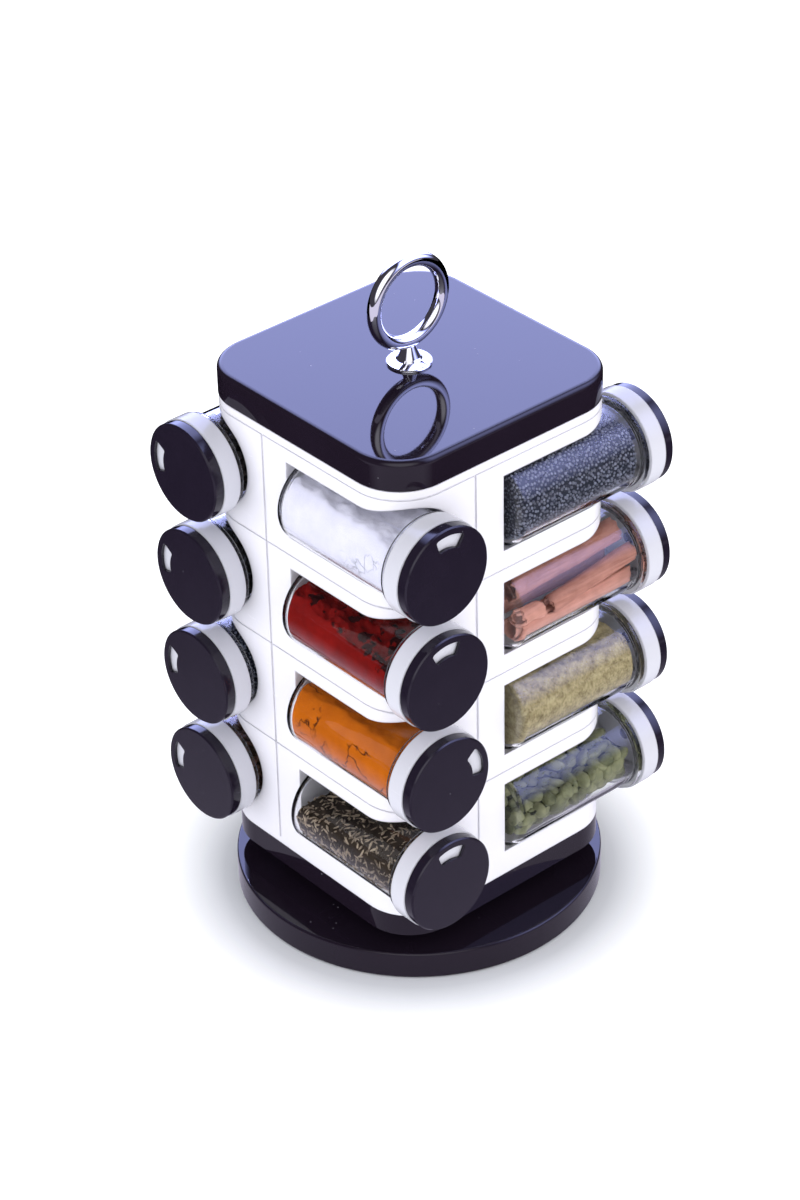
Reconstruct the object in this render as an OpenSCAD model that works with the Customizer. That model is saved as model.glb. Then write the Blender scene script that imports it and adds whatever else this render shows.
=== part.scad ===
// Revolving spice carousel: four stacked trays on a turntable, each tray with four jars
// lying on their sides in a pinwheel, a flat cover on top and a ring to carry it by.
// +Z is up. The origin is the centre of the turntable's base, on the surface it stands on.

/* [Turntable] */
// Diameter of the base
base_d = 190; // [176:1:220]
// Height of the base's flat top above the table
base_top = 15.4; // [14.5:0.1:16]
// Gap between the base and the platform's skirt
skirt_gap = 10.2; // [8:0.2:14]

/* [Tower] */
// Width of the square tower
tower_w = 146; // [144:1:152]
// Radius of the tower's upright corners
corner_r = 26.5; // [22:0.5:30]
// Height of the tower's lowest edge above the table
tower_z = 38; // [38:0.5:44]
// Height of one tray
tray_h = 60; // [57:0.5:70]
// Height of the cover
cover_h = 15.5; // [12:0.5:22]
// Rounding of the cover's top edge
cover_round = 3; // [1:0.5:4]

/* [Jars] */
// Outer diameter of a jar
jar_d = 45.4; // [43:0.2:46]
// Length of a jar's straight body, base to bead
jar_l = 78.6; // [78:0.2:84]
// Thickness of a jar's wall
jar_wall = 1.6; // [1.2:0.1:2.4]
// Distance from the tower's centre to a jar's axis
jar_axis = 60.5; // [58:0.5:62]
// How far a jar's base reaches back past the middle of its face
jar_back = 2.9; // [2:0.1:5]

/* [Ring] */
// Radius of the carrying ring, to the middle of its bar
ring_r = 21.3; // [18:0.1:28]
// Diameter of the ring's bar
ring_bar = 7; // [5:0.5:9]

/* [Hidden] */
$fn = 96;
FACES = ["front", "right", "back", "left"];
TIERS = [1, 2, 3, 4];
FIXED = ["base_plate", "base_feet", "ball_bearing", "platform", "tray_1", "tray_2",
         "tray_3", "tray_4", "top_frame", "top_cover", "spindle", "ring_handle"];

// How far each dial's window is turned from upright towards the outside of the
// carousel, in degrees, as the jars were left: one row a face, lowest tray first.
dial_turn = [[-2, -73, 3, -7], [4, 8, -6, 2], [0, 5, -80, 10], [83, 85, 82, 86]];

ivory = [0.96, 0.96, 0.97];
aubergine = [0.11, 0.08, 0.12];
clear = [0.80, 0.85, 0.88, 0.35];
bright = [0.80, 0.81, 0.84];
eps = 0.01;

// Tower levels
lip_h = 4;                          // lip under the lowest tray
tray_z = tower_z + lip_h;           // bottom of the lowest tray
frame_h = 5;                        // top frame
frame_z = tray_z + 4 * tray_h;
cover_z = frame_z + frame_h;
handle_z = cover_z + cover_h;
half_w = tower_w / 2;
cover_half_w = half_w + 0.2;
straight = half_w - corner_r;       // half of a face's flat stretch
shell_t = 2.4;                      // moulded wall
seam = 0.5;                         // shadow line between stacked mouldings
groove_u = 23.7;                    // upright groove, from the face's middle
groove_w = 1;
groove_depth = 0.7;

// Spindle, turntable and ball race
rod_r = 3;                          // M6
rod_fit = 0.06;
rod_hole_r = rod_r + 0.2;
rod_z = 4;                          // lower end, inside the base's hollow
rod_top = handle_z + 3;
nut_r = 5.77;                       // 10 mm across flats
nut_h = 5;
nut_z = 5;
washer_r = 9;
washer_t = 1.4;
washer_z = nut_z + nut_h;
hub_z = washer_z + washer_t + 0.2;  // underside of the base's hub
base_r = base_d / 2;
base_foot = 1;                      // rim's height above the table
base_t = 2.6;
base_round = 1.2;
pad_r = 45;                         // raised pad that carries the ball race
pad_top = base_top + 2;
race_r = 36;                        // pitch radius of the balls
ball_r = 3;
ball_count = 16;
ball_z = pad_top + 1.5;
race_gap = 0.1;
groove_r = ball_r + 0.2;
pad_gap = 3;                        // between the base's pad and the platform's hub
cage_t = 1.6;
foot_r = 8;
foot_h = 3;
foot_at = 78;                       // radius of the circle of feet
peg_r = 2.5;

// Jars, in a frame of their own: axis along +Z, base at z = 0
jar_r = jar_d / 2;
jar_in_r = jar_r - jar_wall;
jar_base_t = 2.2;
jar_round = 2.6;
bead_r = 25.1;
bead_t = 2.6;
bead_end = jar_l + bead_t;
neck_r = 21.3;
neck_in_r = neck_r - 1.5;
neck_l = 7.4;
thread_h = 0.6;
bay_r = jar_r + 1.6;                // the hollow that a jar lies in
bay_wall = 2.2;
bay_end = 3.1;                      // gap behind the jar's base
bay_drop = 1;                       // a jar lies this far below its bay's axis
jar_mid = tray_h / 2;

// Collars and dials
collar_r = 26;
collar_gap = 0.3;
collar_z = bead_end + collar_gap;
collar_h = 9.6;
collar_in_r = neck_r + thread_h + 0.3;
plateau_r = 23.1;                   // raised middle that the dial sits over
plateau_h = 3.6;
plate_t = 1.6;
thread_depth = neck_l + 0.2;
dial_r = 25.5;
dial_gap = 0.2;
dial_z = collar_z + collar_h + dial_gap;
dial_h = 5.5;
dial_bevel = 0.7;
dial_plate_t = 1.7;
dial_in_r = plateau_r + 0.3;
pin_r = 3;
pin_fit = 0.05;
window_in_r = 14.6;
window_out_r = 21.8;
window_half = 24;                   // half of the window's angle
window_round = 1.3;                 // radius of its corners
sift_r = 1.2;

// ---------- shapes that several pieces share ----------

// Flat rounded square
module rounded_square(half, r) {
  s = half - r;
  square([2 * half, 2 * s], center = true);
  square([2 * s, 2 * half], center = true);
  for (x = [-s, s], y = [-s, s]) translate([x, y]) circle(r);
}

// Rounded square block
module block(half, r, h, z = 0) {
  translate([0, 0, z]) linear_extrude(height = h) rounded_square(half, r);
}

// Rounded square whose edge has a profile: x runs out from the corner's centre
module swept_square(half, r) {
  s = half - r;
  for (k = [0:3]) rotate([0, 0, 90 * k]) {
    translate([s, s, 0]) rotate_extrude(angle = 90) children();
    translate([s, s, 0]) rotate([90, 0, 0]) linear_extrude(height = 2 * s) children();
  }
}

// Upright hole for the spindle
module rod_hole(z, h, r = rod_hole_r) {
  translate([0, 0, z - 1]) cylinder(r = r, h = h + 2);
}

// The same thing on all four faces
module four() {
  for (k = [0:3]) rotate([0, 0, 90 * k]) children();
}

// A cylinder along a front bay's axis, from u0 to u1
module along_bay(r, u0, u1) {
  translate([u0, -jar_axis, jar_mid + bay_drop]) rotate([0, 90, 0]) cylinder(r = r, h = u1 - u0);
}

// ---------- turntable ----------

module base_profile() {
  difference() {
    union() {
      square([base_r - base_round, base_top]);
      square([base_r, base_top - base_round]);
      translate([base_r - base_round, base_top - base_round]) circle(base_round);
      square([pad_r, pad_top]);
    }
    translate([-1, -1]) square([base_r + 2, base_foot + 1]);
    translate([0, -1]) square([base_r - base_t, base_top - base_t + 1]);
    translate([race_r, ball_z + groove_r - ball_r - race_gap]) circle(groove_r);
  }
}

module base_plate() {
  rib_t = 2;
  color(aubergine) difference() {
    union() {
      rotate_extrude() base_profile();
      translate([0, 0, hub_z]) cylinder(r = 14, h = base_top - hub_z);
      for (k = [0:7]) rotate([0, 0, 45 * k + 22.5]) {
        translate([10, -rib_t / 2, foot_h + 3]) cube([base_r - base_t - 9, rib_t, base_top - foot_h - 4]);
      }
      four() rotate([0, 0, 45]) translate([foot_at, 0, foot_h]) cylinder(r = foot_r, h = base_top - foot_h - 1);
    }
    translate([0, 0, -1]) cylinder(r = washer_r + 1, h = hub_z + 1);
    rod_hole(0, pad_top, rod_r + rod_fit);
    four() rotate([0, 0, 45]) translate([foot_at, 0, 0]) cylinder(r = peg_r + 0.1, h = foot_h + 4.2);
  }
}

module base_feet() {
  color("dimgray") four() rotate([0, 0, 45]) translate([foot_at, 0, 0]) {
    cylinder(r = foot_r, h = foot_h);
    cylinder(r = peg_r, h = foot_h + 4);
  }
}

module ball_bearing() {
  color(bright) {
    difference() {
      translate([0, 0, ball_z - cage_t / 2]) cylinder(r = race_r + 4.5, h = cage_t);
      translate([0, 0, ball_z - cage_t]) cylinder(r = race_r - 4.5, h = 2 * cage_t);
      for (k = [1:ball_count]) rotate([0, 0, 360 * k / ball_count]) {
        translate([race_r, 0, ball_z - cage_t]) cylinder(r = ball_r + 0.05, h = 2 * cage_t);
      }
    }
    for (k = [1:ball_count]) rotate([0, 0, 360 * k / ball_count]) {
      translate([race_r, 0, ball_z]) sphere(ball_r);
    }
  }
}

module platform() {
  skirt_z = base_top + skirt_gap;
  hub_low = pad_top + pad_gap;
  top_t = 3;
  rib_t = 2;
  color(aubergine) difference() {
    union() {
      difference() {
        block(half_w, corner_r, tower_z - skirt_z, skirt_z);
        block(half_w - shell_t, corner_r - shell_t, tower_z - top_t - skirt_z + 1, skirt_z - 1);
      }
      translate([0, 0, hub_low]) cylinder(r = pad_r, h = tower_z - hub_low);
      for (k = [0:7]) rotate([0, 0, 45 * k]) {
        translate([pad_r - 2, -rib_t / 2, skirt_z + 1]) cube([half_w - pad_r, rib_t, tower_z - skirt_z - 2]);
      }
    }
    // The hub is hollow between its race and its sleeve
    difference() {
      translate([0, 0, hub_low - 1]) cylinder(r = race_r - 7, h = tower_z - top_t - hub_low + 1);
      translate([0, 0, hub_low - 1]) cylinder(r = 8, h = tower_z);
    }
    rotate_extrude() translate([race_r, ball_z - groove_r + ball_r + race_gap]) circle(groove_r);
    rod_hole(hub_low, tower_z - hub_low);
  }
}

// ---------- tower ----------

// One moulded tray: outer shell, four bays and the boss that the spindle runs through
module tray(lip = 0) {
  boss_r = 8;
  rib_t = 2.2;
  register_h = 2;
  register_in = shell_t + 0.3;
  color(ivory) difference() {
    union() {
      difference() {
        union() {
          block(half_w, corner_r, tray_h - seam + lip, -lip);
          block(half_w - seam, corner_r - seam, tray_h);
        }
        block(half_w - shell_t, corner_r - shell_t, tray_h + lip + 2, -lip - 1);
      }
      // Register that the next moulding up drops over
      difference() {
        block(half_w - register_in, corner_r - register_in, register_h + 3, tray_h - 3);
        block(half_w - register_in - 2, corner_r - register_in - 2, register_h + 5, tray_h - 4);
      }
      difference() {
        block(half_w - 1, corner_r - 1, 1, tray_h - 3);
        block(half_w - register_in - 2, corner_r - register_in - 2, 3, tray_h - 4);
      }
      intersection() {
        four() along_bay(bay_r + bay_wall, -jar_back - bay_end - bay_wall, half_w + 2);
        block(half_w, corner_r, tray_h - seam);
      }
      cylinder(r = boss_r, h = tray_h);
      four() translate([-rib_t / 2, -jar_axis, 4]) cube([rib_t, jar_axis - 4, tray_h - 8]);
    }
    four() along_bay(bay_r, -jar_back - bay_end, half_w + 20);
    four() translate([-groove_u - groove_w / 2, -half_w - 1, 0]) cube([groove_w, groove_depth + 1, tray_h]);
    rod_hole(-lip, tray_h + lip);
  }
}

module tray_at(tier) {
  translate([0, 0, tray_z + (tier - 1) * tray_h]) tray(tier == 1 ? lip_h : 0);
}

module tray_1() tray_at(1);
module tray_2() tray_at(2);
module tray_3() tray_at(3);
module tray_4() tray_at(4);

module top_frame() {
  rim_in = shell_t + 0.6;
  plate = 2;
  color(ivory) difference() {
    union() {
      block(half_w, corner_r, frame_h - seam, frame_z);
      block(half_w - seam, corner_r - seam, frame_h, frame_z);
      block(half_w - rim_in, corner_r - rim_in, frame_h + 3, frame_z);
    }
    // Underside drops over the top tray's register
    difference() {
      block(half_w - shell_t, corner_r - shell_t, 1 + frame_h - plate, frame_z - 1);
      translate([0, 0, frame_z - 1]) cylinder(r = 10, h = frame_h + 1);
    }
    block(half_w - rim_in - 2, corner_r - rim_in - 2, 5, frame_z + frame_h);
    rod_hole(frame_z, frame_h + 4);
  }
}

module cover_profile() {
  difference() {
    union() {
      square([corner_r - cover_round, cover_h]);
      square([corner_r, cover_h - cover_round]);
      translate([corner_r - cover_round, cover_h - cover_round]) circle(cover_round);
    }
    translate([-1, -1]) square([corner_r - shell_t + 1, cover_h - shell_t + 1]);
  }
}

module top_cover() {
  s = cover_half_w - corner_r;
  color(aubergine) translate([0, 0, cover_z]) difference() {
    union() {
      swept_square(cover_half_w, corner_r) cover_profile();
      translate([-s, -s, cover_h - shell_t]) cube([2 * s, 2 * s, shell_t]);
      // Boss and ribs that bear on the frame's plate
      translate([0, 0, eps]) cylinder(r = 9, h = cover_h - 1);
      four() translate([-1, -s - 15, cover_h - shell_t - 5]) cube([2, s + 15, 6]);
    }
    rod_hole(0, cover_h);
  }
}

// ---------- spindle and ring ----------

module spindle() {
  color(bright) {
    translate([0, 0, rod_z]) cylinder(r = rod_r, h = rod_top - rod_z);
    difference() {
      union() {
        translate([0, 0, nut_z]) cylinder(r = nut_r, h = nut_h, $fn = 6);
        translate([0, 0, washer_z]) cylinder(r = washer_r, h = washer_t);
      }
      translate([0, 0, nut_z - 1]) cylinder(r = rod_r, h = nut_h + washer_t + 2);
    }
  }
}

module ring_handle() {
  flange_r = 11.3;
  flange_t = 1.3;
  ring_mid = ring_r + ring_bar / 2 + 8.3;
  neck_top = 9.5;
  color(bright) translate([0, 0, handle_z]) {
    difference() {
      rotate_extrude() polygon([[0, 0], [flange_r, 0], [flange_r, flange_t - 0.5], [flange_r - 0.6, flange_t],
                                [6.6, 2.4], [5.6, 3.4], [2.9, neck_top], [0, neck_top]]);
      translate([0, 0, -1]) cylinder(r = rod_r + 0.02, h = 4.1);
    }
    translate([0, 0, ring_mid]) rotate([0, 90, 0]) rotate_extrude() translate([ring_r, 0]) circle(d = ring_bar);
  }
}

// ---------- jars ----------

// Puts a jar's own frame at its face and tray, with +Z of that frame along the jar's axis
// and +X of that frame pointing down
module at_bay(face, tier) {
  rotate([0, 0, 90 * face])
    translate([-jar_back, -jar_axis, tray_z + (tier - 1) * tray_h + jar_mid])
    rotate([0, 90, 0]) children();
}

module jar() {
  color(clear) rotate_extrude() difference() {
    union() {
      square([jar_r - jar_round, jar_l]);
      translate([0, jar_round]) square([jar_r, jar_l - jar_round]);
      translate([jar_r - jar_round, jar_round]) circle(jar_round);
      translate([0, jar_l]) square([bead_r, bead_t]);
      square([neck_r, bead_end + neck_l]);
      for (k = [0, 1]) translate([0, bead_end + 2 + 2.6 * k]) square([neck_r + thread_h, 1.2]);
    }
    translate([-1, jar_base_t]) square([jar_in_r + 1, jar_l - jar_base_t]);
    translate([-1, jar_l - 1]) square([neck_in_r + 1, bead_t + neck_l + 3]);
  }
}

module collar() {
  top = collar_h + plateau_h;
  color(ivory) translate([0, 0, collar_z]) difference() {
    union() {
      cylinder(r = collar_r, h = collar_h);
      cylinder(r = plateau_r, h = top);
    }
    translate([0, 0, -1]) cylinder(r = collar_in_r, h = thread_depth + 1);
    translate([0, 0, -1]) cylinder(r = neck_in_r + 0.6, h = top - plate_t + 1);
    cylinder(r = pin_r + pin_fit, h = top + 1);
    // Sifting holes, half a turn round from the dial's window
    for (a = [-18:9:18]) rotate([0, 0, a]) translate([window_in_r + 3.4, 0, 0]) cylinder(r = sift_r, h = top + 1);
  }
}

function polar(r, a) = r * [cos(a), sin(a)];

// Points along an arc, without its last one
function arc(centre, r, from, to, steps) =
  [for (k = [0:steps - 1]) centre + polar(r, from + (to - from) * k / steps)];

// The window's outline: two long arcs joined by four rounded corners
function window_outline() =
  let (low_r = window_in_r + window_round, high_r = window_out_r - window_round,
       low_a = window_half - asin(window_round / low_r), high_a = window_half - asin(window_round / high_r))
  concat(arc([0, 0], window_out_r, -high_a, high_a, 10),
         arc(polar(high_r, high_a), window_round, high_a, 90 + window_half, 4),
         arc(polar(low_r, low_a), window_round, 90 + window_half, 180 + low_a, 4),
         arc([0, 0], window_in_r, low_a, -low_a, 8),
         arc(polar(low_r, -low_a), window_round, 180 - low_a, 270 - window_half, 4),
         arc(polar(high_r, -high_a), window_round, 270 - window_half, 360 - high_a, 4));

module dial() {
  plate_z = dial_h - dial_plate_t;
  pin_low = plate_z - 3;
  color(aubergine) translate([0, 0, dial_z]) {
    difference() {
      rotate_extrude() polygon([[0, 0], [dial_r, 0], [dial_r, dial_h - dial_bevel],
                                [dial_r - dial_bevel, dial_h], [0, dial_h]]);
      translate([0, 0, -1]) cylinder(r = dial_in_r, h = plate_z + 1);
      // Kidney-shaped window
      rotate([0, 0, 180]) linear_extrude(height = dial_h + 1) polygon(window_outline());
    }
    translate([0, 0, pin_low]) cylinder(r = pin_r, h = dial_h - pin_low - 1);
  }
}

base_plate();
base_feet();
ball_bearing();
platform();
tray_1();
tray_2();
tray_3();
tray_4();
top_frame();
top_cover();
spindle();
ring_handle();
for (f = [0:3], t = TIERS) {
  place = str("_", FACES[f], "_", t);
  turn = dial_turn[f][t - 1];
  at_bay(f, t) jar();
  at_bay(f, t) collar();
  at_bay(f, t) rotate([0, 0, turn]) dial();
}
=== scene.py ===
# %% [markdown]
# # A revolving spice carousel
# Sixteen clear jars lie on their sides in four stacked trays, and the whole tower turns on a
# ball race above a heavy round base. The engineering model gives every piece its shape, size
# and joint. This lesson dresses it: it finishes each moulding, blows the jars in clear plastic,
# fills them with spices, and lights the result in a small studio.

import math

import bmesh
import bpy
import numpy as np
from mathutils import Matrix, Vector, noise


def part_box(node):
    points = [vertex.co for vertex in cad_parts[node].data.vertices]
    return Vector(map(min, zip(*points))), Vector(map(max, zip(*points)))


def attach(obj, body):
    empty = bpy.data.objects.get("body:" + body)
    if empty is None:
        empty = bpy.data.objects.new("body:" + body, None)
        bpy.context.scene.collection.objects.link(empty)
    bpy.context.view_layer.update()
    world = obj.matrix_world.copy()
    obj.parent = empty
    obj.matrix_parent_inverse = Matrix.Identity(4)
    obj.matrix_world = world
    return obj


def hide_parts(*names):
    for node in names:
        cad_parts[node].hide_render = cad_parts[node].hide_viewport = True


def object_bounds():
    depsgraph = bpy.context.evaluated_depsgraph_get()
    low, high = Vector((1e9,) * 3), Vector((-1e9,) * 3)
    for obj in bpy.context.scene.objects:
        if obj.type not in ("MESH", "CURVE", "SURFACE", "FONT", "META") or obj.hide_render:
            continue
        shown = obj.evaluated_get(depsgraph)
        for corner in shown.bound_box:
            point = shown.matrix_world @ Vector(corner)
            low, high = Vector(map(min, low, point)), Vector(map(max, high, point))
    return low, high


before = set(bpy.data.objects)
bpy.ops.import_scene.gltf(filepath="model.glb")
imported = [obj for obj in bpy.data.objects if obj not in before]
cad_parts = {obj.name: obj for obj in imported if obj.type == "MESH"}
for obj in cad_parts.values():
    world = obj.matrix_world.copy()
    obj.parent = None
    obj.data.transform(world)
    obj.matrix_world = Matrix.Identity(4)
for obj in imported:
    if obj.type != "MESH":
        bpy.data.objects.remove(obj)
cad_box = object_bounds()
scene = bpy.context.scene
mm = 0.001
FACES = ["front", "right", "back", "left"]
TIERS = [1, 2, 3, 4]
print("nodes", len(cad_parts), "height", round(cad_box[1].z / mm, 1), "mm")

# %% [markdown]
# ## The camera
# A product picture is taken from far away with a long lens, so that upright edges stay nearly
# parallel. The camera stands off one corner of the tower and looks down on it. It is placed by
# its direction from a point on the tower's axis, and then rolled by a degree, because it was
# not quite level. The shift slides the picture without turning the camera.


# %% Camera
def stand_camera(target_z, azimuth, elevation, distance, roll, lens, shift):
    """A camera that looks at the tower's axis. Angles are in degrees and sizes in millimetres."""
    a, e, r = (math.radians(x) for x in (azimuth, elevation, roll))
    back = Vector((math.sin(a) * math.cos(e), -math.cos(a) * math.cos(e), math.sin(e)))
    right = Vector((math.cos(a), math.sin(a), 0))
    up = back.cross(right)
    across = math.cos(r) * right + math.sin(r) * up
    upward = math.cos(r) * up - math.sin(r) * right
    camera = bpy.data.objects.new("camera", bpy.data.cameras.new("camera"))
    scene.collection.objects.link(camera)
    turn = Matrix((across, upward, back)).transposed().to_4x4()
    camera.matrix_world = Matrix.Translation((Vector((0, 0, target_z)) + distance * back) * mm) @ turn
    camera.data.lens = lens
    camera.data.shift_x, camera.data.shift_y = shift
    scene.camera = camera
    return camera


camera = stand_camera(target_z=130, azimuth=49.27, elevation=34.65, distance=1822, roll=-1.17,
                      lens=108.3, shift=(-0.0128, 0.0490))
print("camera stands at", [round(x, 3) for x in camera.location])

# %% [markdown]
# ## Wiring nodes
# Materials and Geometry Nodes are both trees of nodes. Three small helpers keep their wiring
# short: one adds a node and fills its inputs with plain values or with another node's output,
# one does sums, and one starts a group with named inputs and outputs.


# %% Node helpers
def wire(tree, kind, inputs=(), **settings):
    """Adds a node, sets its properties, and fills its inputs with values or other outputs."""
    made = tree.nodes.new(kind)
    for name, value in settings.items():
        setattr(made, name, value)
    for name, value in dict(inputs).items():
        if isinstance(value, bpy.types.NodeSocket):
            tree.links.new(value, made.inputs[name])
        else:
            made.inputs[name].default_value = value
    return made


def maths(tree, operation, a, b=0.0, clamp=False):
    """One sum. Each side is a number or another node's output."""
    return wire(tree, "ShaderNodeMath", {0: a, 1: b}, operation=operation, use_clamp=clamp).outputs[0]


def spread(tree, value, low, high, new_low=0.0, new_high=1.0):
    """Stretches a value from one range to another, and holds it inside."""
    inputs = {"Value": value, "From Min": low, "From Max": high, "To Min": new_low, "To Max": new_high}
    return wire(tree, "ShaderNodeMapRange", inputs).outputs["Result"]


def blend_colours(tree, share, first, second):
    """A mix of two colours, each a plain colour or another node's output."""
    mix = wire(tree, "ShaderNodeMix", data_type="RGBA")
    for index, value in ((0, share), (6, first), (7, second)):
        if isinstance(value, bpy.types.NodeSocket):
            tree.links.new(value, mix.inputs[index])
        else:
            mix.inputs[index].default_value = value if index == 0 else (*value, 1)
    return mix.outputs[2]


def new_group(name, kind, inputs, outputs):
    """An empty node group. Inputs are (name, socket, value), and outputs (name, socket)."""
    tree = bpy.data.node_groups.new(name, kind)
    for label, socket, value in inputs:
        made = tree.interface.new_socket(label, in_out="INPUT", socket_type="NodeSocket" + socket)
        if value is not None:
            made.default_value = value
    for label, socket in outputs:
        tree.interface.new_socket(label, in_out="OUTPUT", socket_type="NodeSocket" + socket)
    return tree, tree.nodes.new("NodeGroupInput").outputs, tree.nodes.new("NodeGroupOutput")


def finish_group(tree, out, results):
    """Wires a group's results to its outputs."""
    for label, socket in results.items():
        tree.links.new(socket, out.inputs[label])


print("helpers ready")

# %% [markdown]
# ## The studio
# A white sweep under a big soft sky gives the bright, nearly shadowless look of a catalogue
# picture. Glossy plastic and chrome would only look flat in it, because they show what they
# mirror. So the sky has two faces: everything matt is lit by plain white, while mirror
# reflections see a dark room. In that room a wide, bluish soft box stands behind the object, a
# plain one stands in front of it for the chrome, and the right-hand side glows faintly.


# %% Sky
def seen_in_mirror(tree):
    """1 for a ray that was mirrored on its way from the camera, and 0 for one that lights a matt surface."""
    ray = wire(tree, "ShaderNodeLightPath").outputs
    mirrored = maths(tree, "GREATER_THAN", ray["Glossy Depth"], 0.5)
    scattered = maths(tree, "GREATER_THAN", ray["Diffuse Depth"], 0.5)
    return maths(tree, "MULTIPLY", mirrored, maths(tree, "SUBTRACT", 1.0, scattered))


def build_sky(soft_box, box_way, front_box, front_way, side_share, room, matt_light, horizon, zenith):
    """The world: a white dome for matt surfaces, and a dark room with soft boxes for mirrors."""
    scene.world = bpy.data.worlds.new("studio")
    scene.world.use_nodes = True
    tree = scene.world.node_tree
    tree.nodes.clear()
    way = wire(tree, "ShaderNodeTexCoord").outputs["Generated"]
    axes = wire(tree, "ShaderNodeSeparateXYZ", {0: way}).outputs
    closeness = wire(tree, "ShaderNodeVectorMath", {0: way, 1: box_way},
                     operation="DOT_PRODUCT").outputs["Value"]
    box = spread(tree, closeness, 0.72, 0.90)
    right_side = maths(tree, "MULTIPLY", spread(tree, axes["X"], 0.0, 0.4), spread(tree, axes["Y"], 0.1, 0.4))
    side = maths(tree, "MULTIPLY", right_side, spread(tree, axes["Z"], 0.05, 0.6, 0.0, side_share))
    mirrored = blend_colours(tree, maths(tree, "MAXIMUM", box, side), room, soft_box)
    facing = wire(tree, "ShaderNodeVectorMath", {0: way, 1: front_way},
                  operation="DOT_PRODUCT").outputs["Value"]
    mirrored = blend_colours(tree, spread(tree, facing, 0.80, 0.95), mirrored, front_box)
    gloss_sky = wire(tree, "ShaderNodeBackground", {"Color": mirrored})
    evenness = spread(tree, axes["Z"], 0.0, 1.0, horizon, zenith)
    matt_sky = wire(tree, "ShaderNodeBackground", {"Color": (*matt_light, 1), "Strength": evenness})
    both = wire(tree, "ShaderNodeMixShader", {
        0: seen_in_mirror(tree), 1: matt_sky.outputs[0], 2: gloss_sky.outputs[0]})
    wire(tree, "ShaderNodeOutputWorld", {"Surface": both.outputs[0]})


build_sky(soft_box=(3.9, 4.3, 8.6), box_way=(-0.62, 0.54, 0.57), front_box=(2.0, 2.0, 2.2),
          front_way=(0.62, -0.54, 0.57), side_share=0.85, room=(0.05, 0.045, 0.06),
          matt_light=(1.0, 1.0, 1.05), horizon=1.30, zenith=0.70)
scene.view_settings.view_transform = "Standard"
print("sky built")

# %% [markdown]
# The floor is matt and pale, and away from the object it gives off a little light of its own,
# which keeps it white around a soft shadow. Mirror rays see a cooler floor that darkens with
# distance, as a table does in a dark room, so low plastic edges pick up a little lavender. It
# glows again further out in front, where the ring mirrors it. One broad lamp on the right warms
# that side, and a cooler one fills the left.


# %% Floor and lamps
def build_floor(half_size, near_glow, fade_start, fade_end, front_way):
    """A pale floor. In mirrors it glows near the object and in front of it, and is dark elsewhere."""
    corners = [(-half_size, -half_size, 0), (half_size, -half_size, 0), (half_size, half_size, 0),
               (-half_size, half_size, 0)]
    mesh = bpy.data.meshes.new("floor")
    mesh.from_pydata(corners, [], [(0, 1, 2, 3)])
    floor = bpy.data.objects.new("floor", mesh)
    scene.collection.objects.link(floor)
    material = bpy.data.materials.new("pale_floor")
    material.use_nodes = True
    tree = material.node_tree
    tree.nodes.clear()
    where = wire(tree, "ShaderNodeTexCoord").outputs["Object"]
    far = wire(tree, "ShaderNodeVectorMath", {0: where}, operation="LENGTH").outputs["Value"]
    share = maths(tree, "POWER", spread(tree, far, fade_end, fade_start), 1.5)
    ahead = wire(tree, "ShaderNodeVectorMath", {0: where, 1: front_way},
                 operation="DOT_PRODUCT").outputs["Value"]
    share = maths(tree, "ADD", share, spread(tree, ahead, 0.26, 0.42, 0.0, 1.3))
    glow = wire(tree, "ShaderNodeEmission", {"Color": (*near_glow, 1), "Strength": share})
    matt = wire(tree, "ShaderNodeBsdfDiffuse", {"Color": (0.80, 0.82, 0.85, 1)})
    lift = wire(tree, "ShaderNodeEmission", {"Strength": spread(tree, far, 0.102, 0.15, 0.0, 0.7)})
    paper = wire(tree, "ShaderNodeAddShader", {0: matt.outputs[0], 1: lift.outputs[0]})
    both = wire(tree, "ShaderNodeMixShader",
                {0: seen_in_mirror(tree), 1: paper.outputs[0], 2: glow.outputs[0]})
    wire(tree, "ShaderNodeOutputMaterial", {"Surface": both.outputs[0]})
    material.cycles.emission_sampling = "NONE"
    mesh.materials.append(material)


def hang_lamp(name, place, size, power, colour):
    """A square soft lamp aimed at the middle of the tower. It leaves no reflection."""
    lamp = bpy.data.objects.new(name, bpy.data.lights.new(name, "AREA"))
    scene.collection.objects.link(lamp)
    lamp.location = place
    aim = Vector(place) - Vector((0, 0, cad_box[1].z / 2))
    lamp.rotation_euler = aim.to_track_quat("Z", "Y").to_euler()
    lamp.data.size, lamp.data.energy, lamp.data.color = size, power, colour
    lamp.visible_glossy = False


build_floor(half_size=4, near_glow=(0.55, 0.52, 0.66), fade_start=0.14, fade_end=0.50,
            front_way=(0.754, -0.657, 0))
hang_lamp("key_lamp", place=(1.7, 0.2, 1.0), size=1.2, power=8, colour=(1.0, 0.96, 0.96))
hang_lamp("fill_lamp", place=(-0.5, -1.7, 0.8), size=1.2, power=7, colour=(0.93, 0.94, 1.0))

# %% [markdown]
# ## Moulded plastic
# The mouldings are glossy, but no moulding is optically flat. Its broad faces sink a few
# hundredths of a millimetre between ribs, its sharp edges are really tiny radii, and handling
# leaves hairlines and dust. One shader group holds these effects for every plastic here. It
# puts out a roughness, a normal and a tone, and each material gives it its own sizes.


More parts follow.
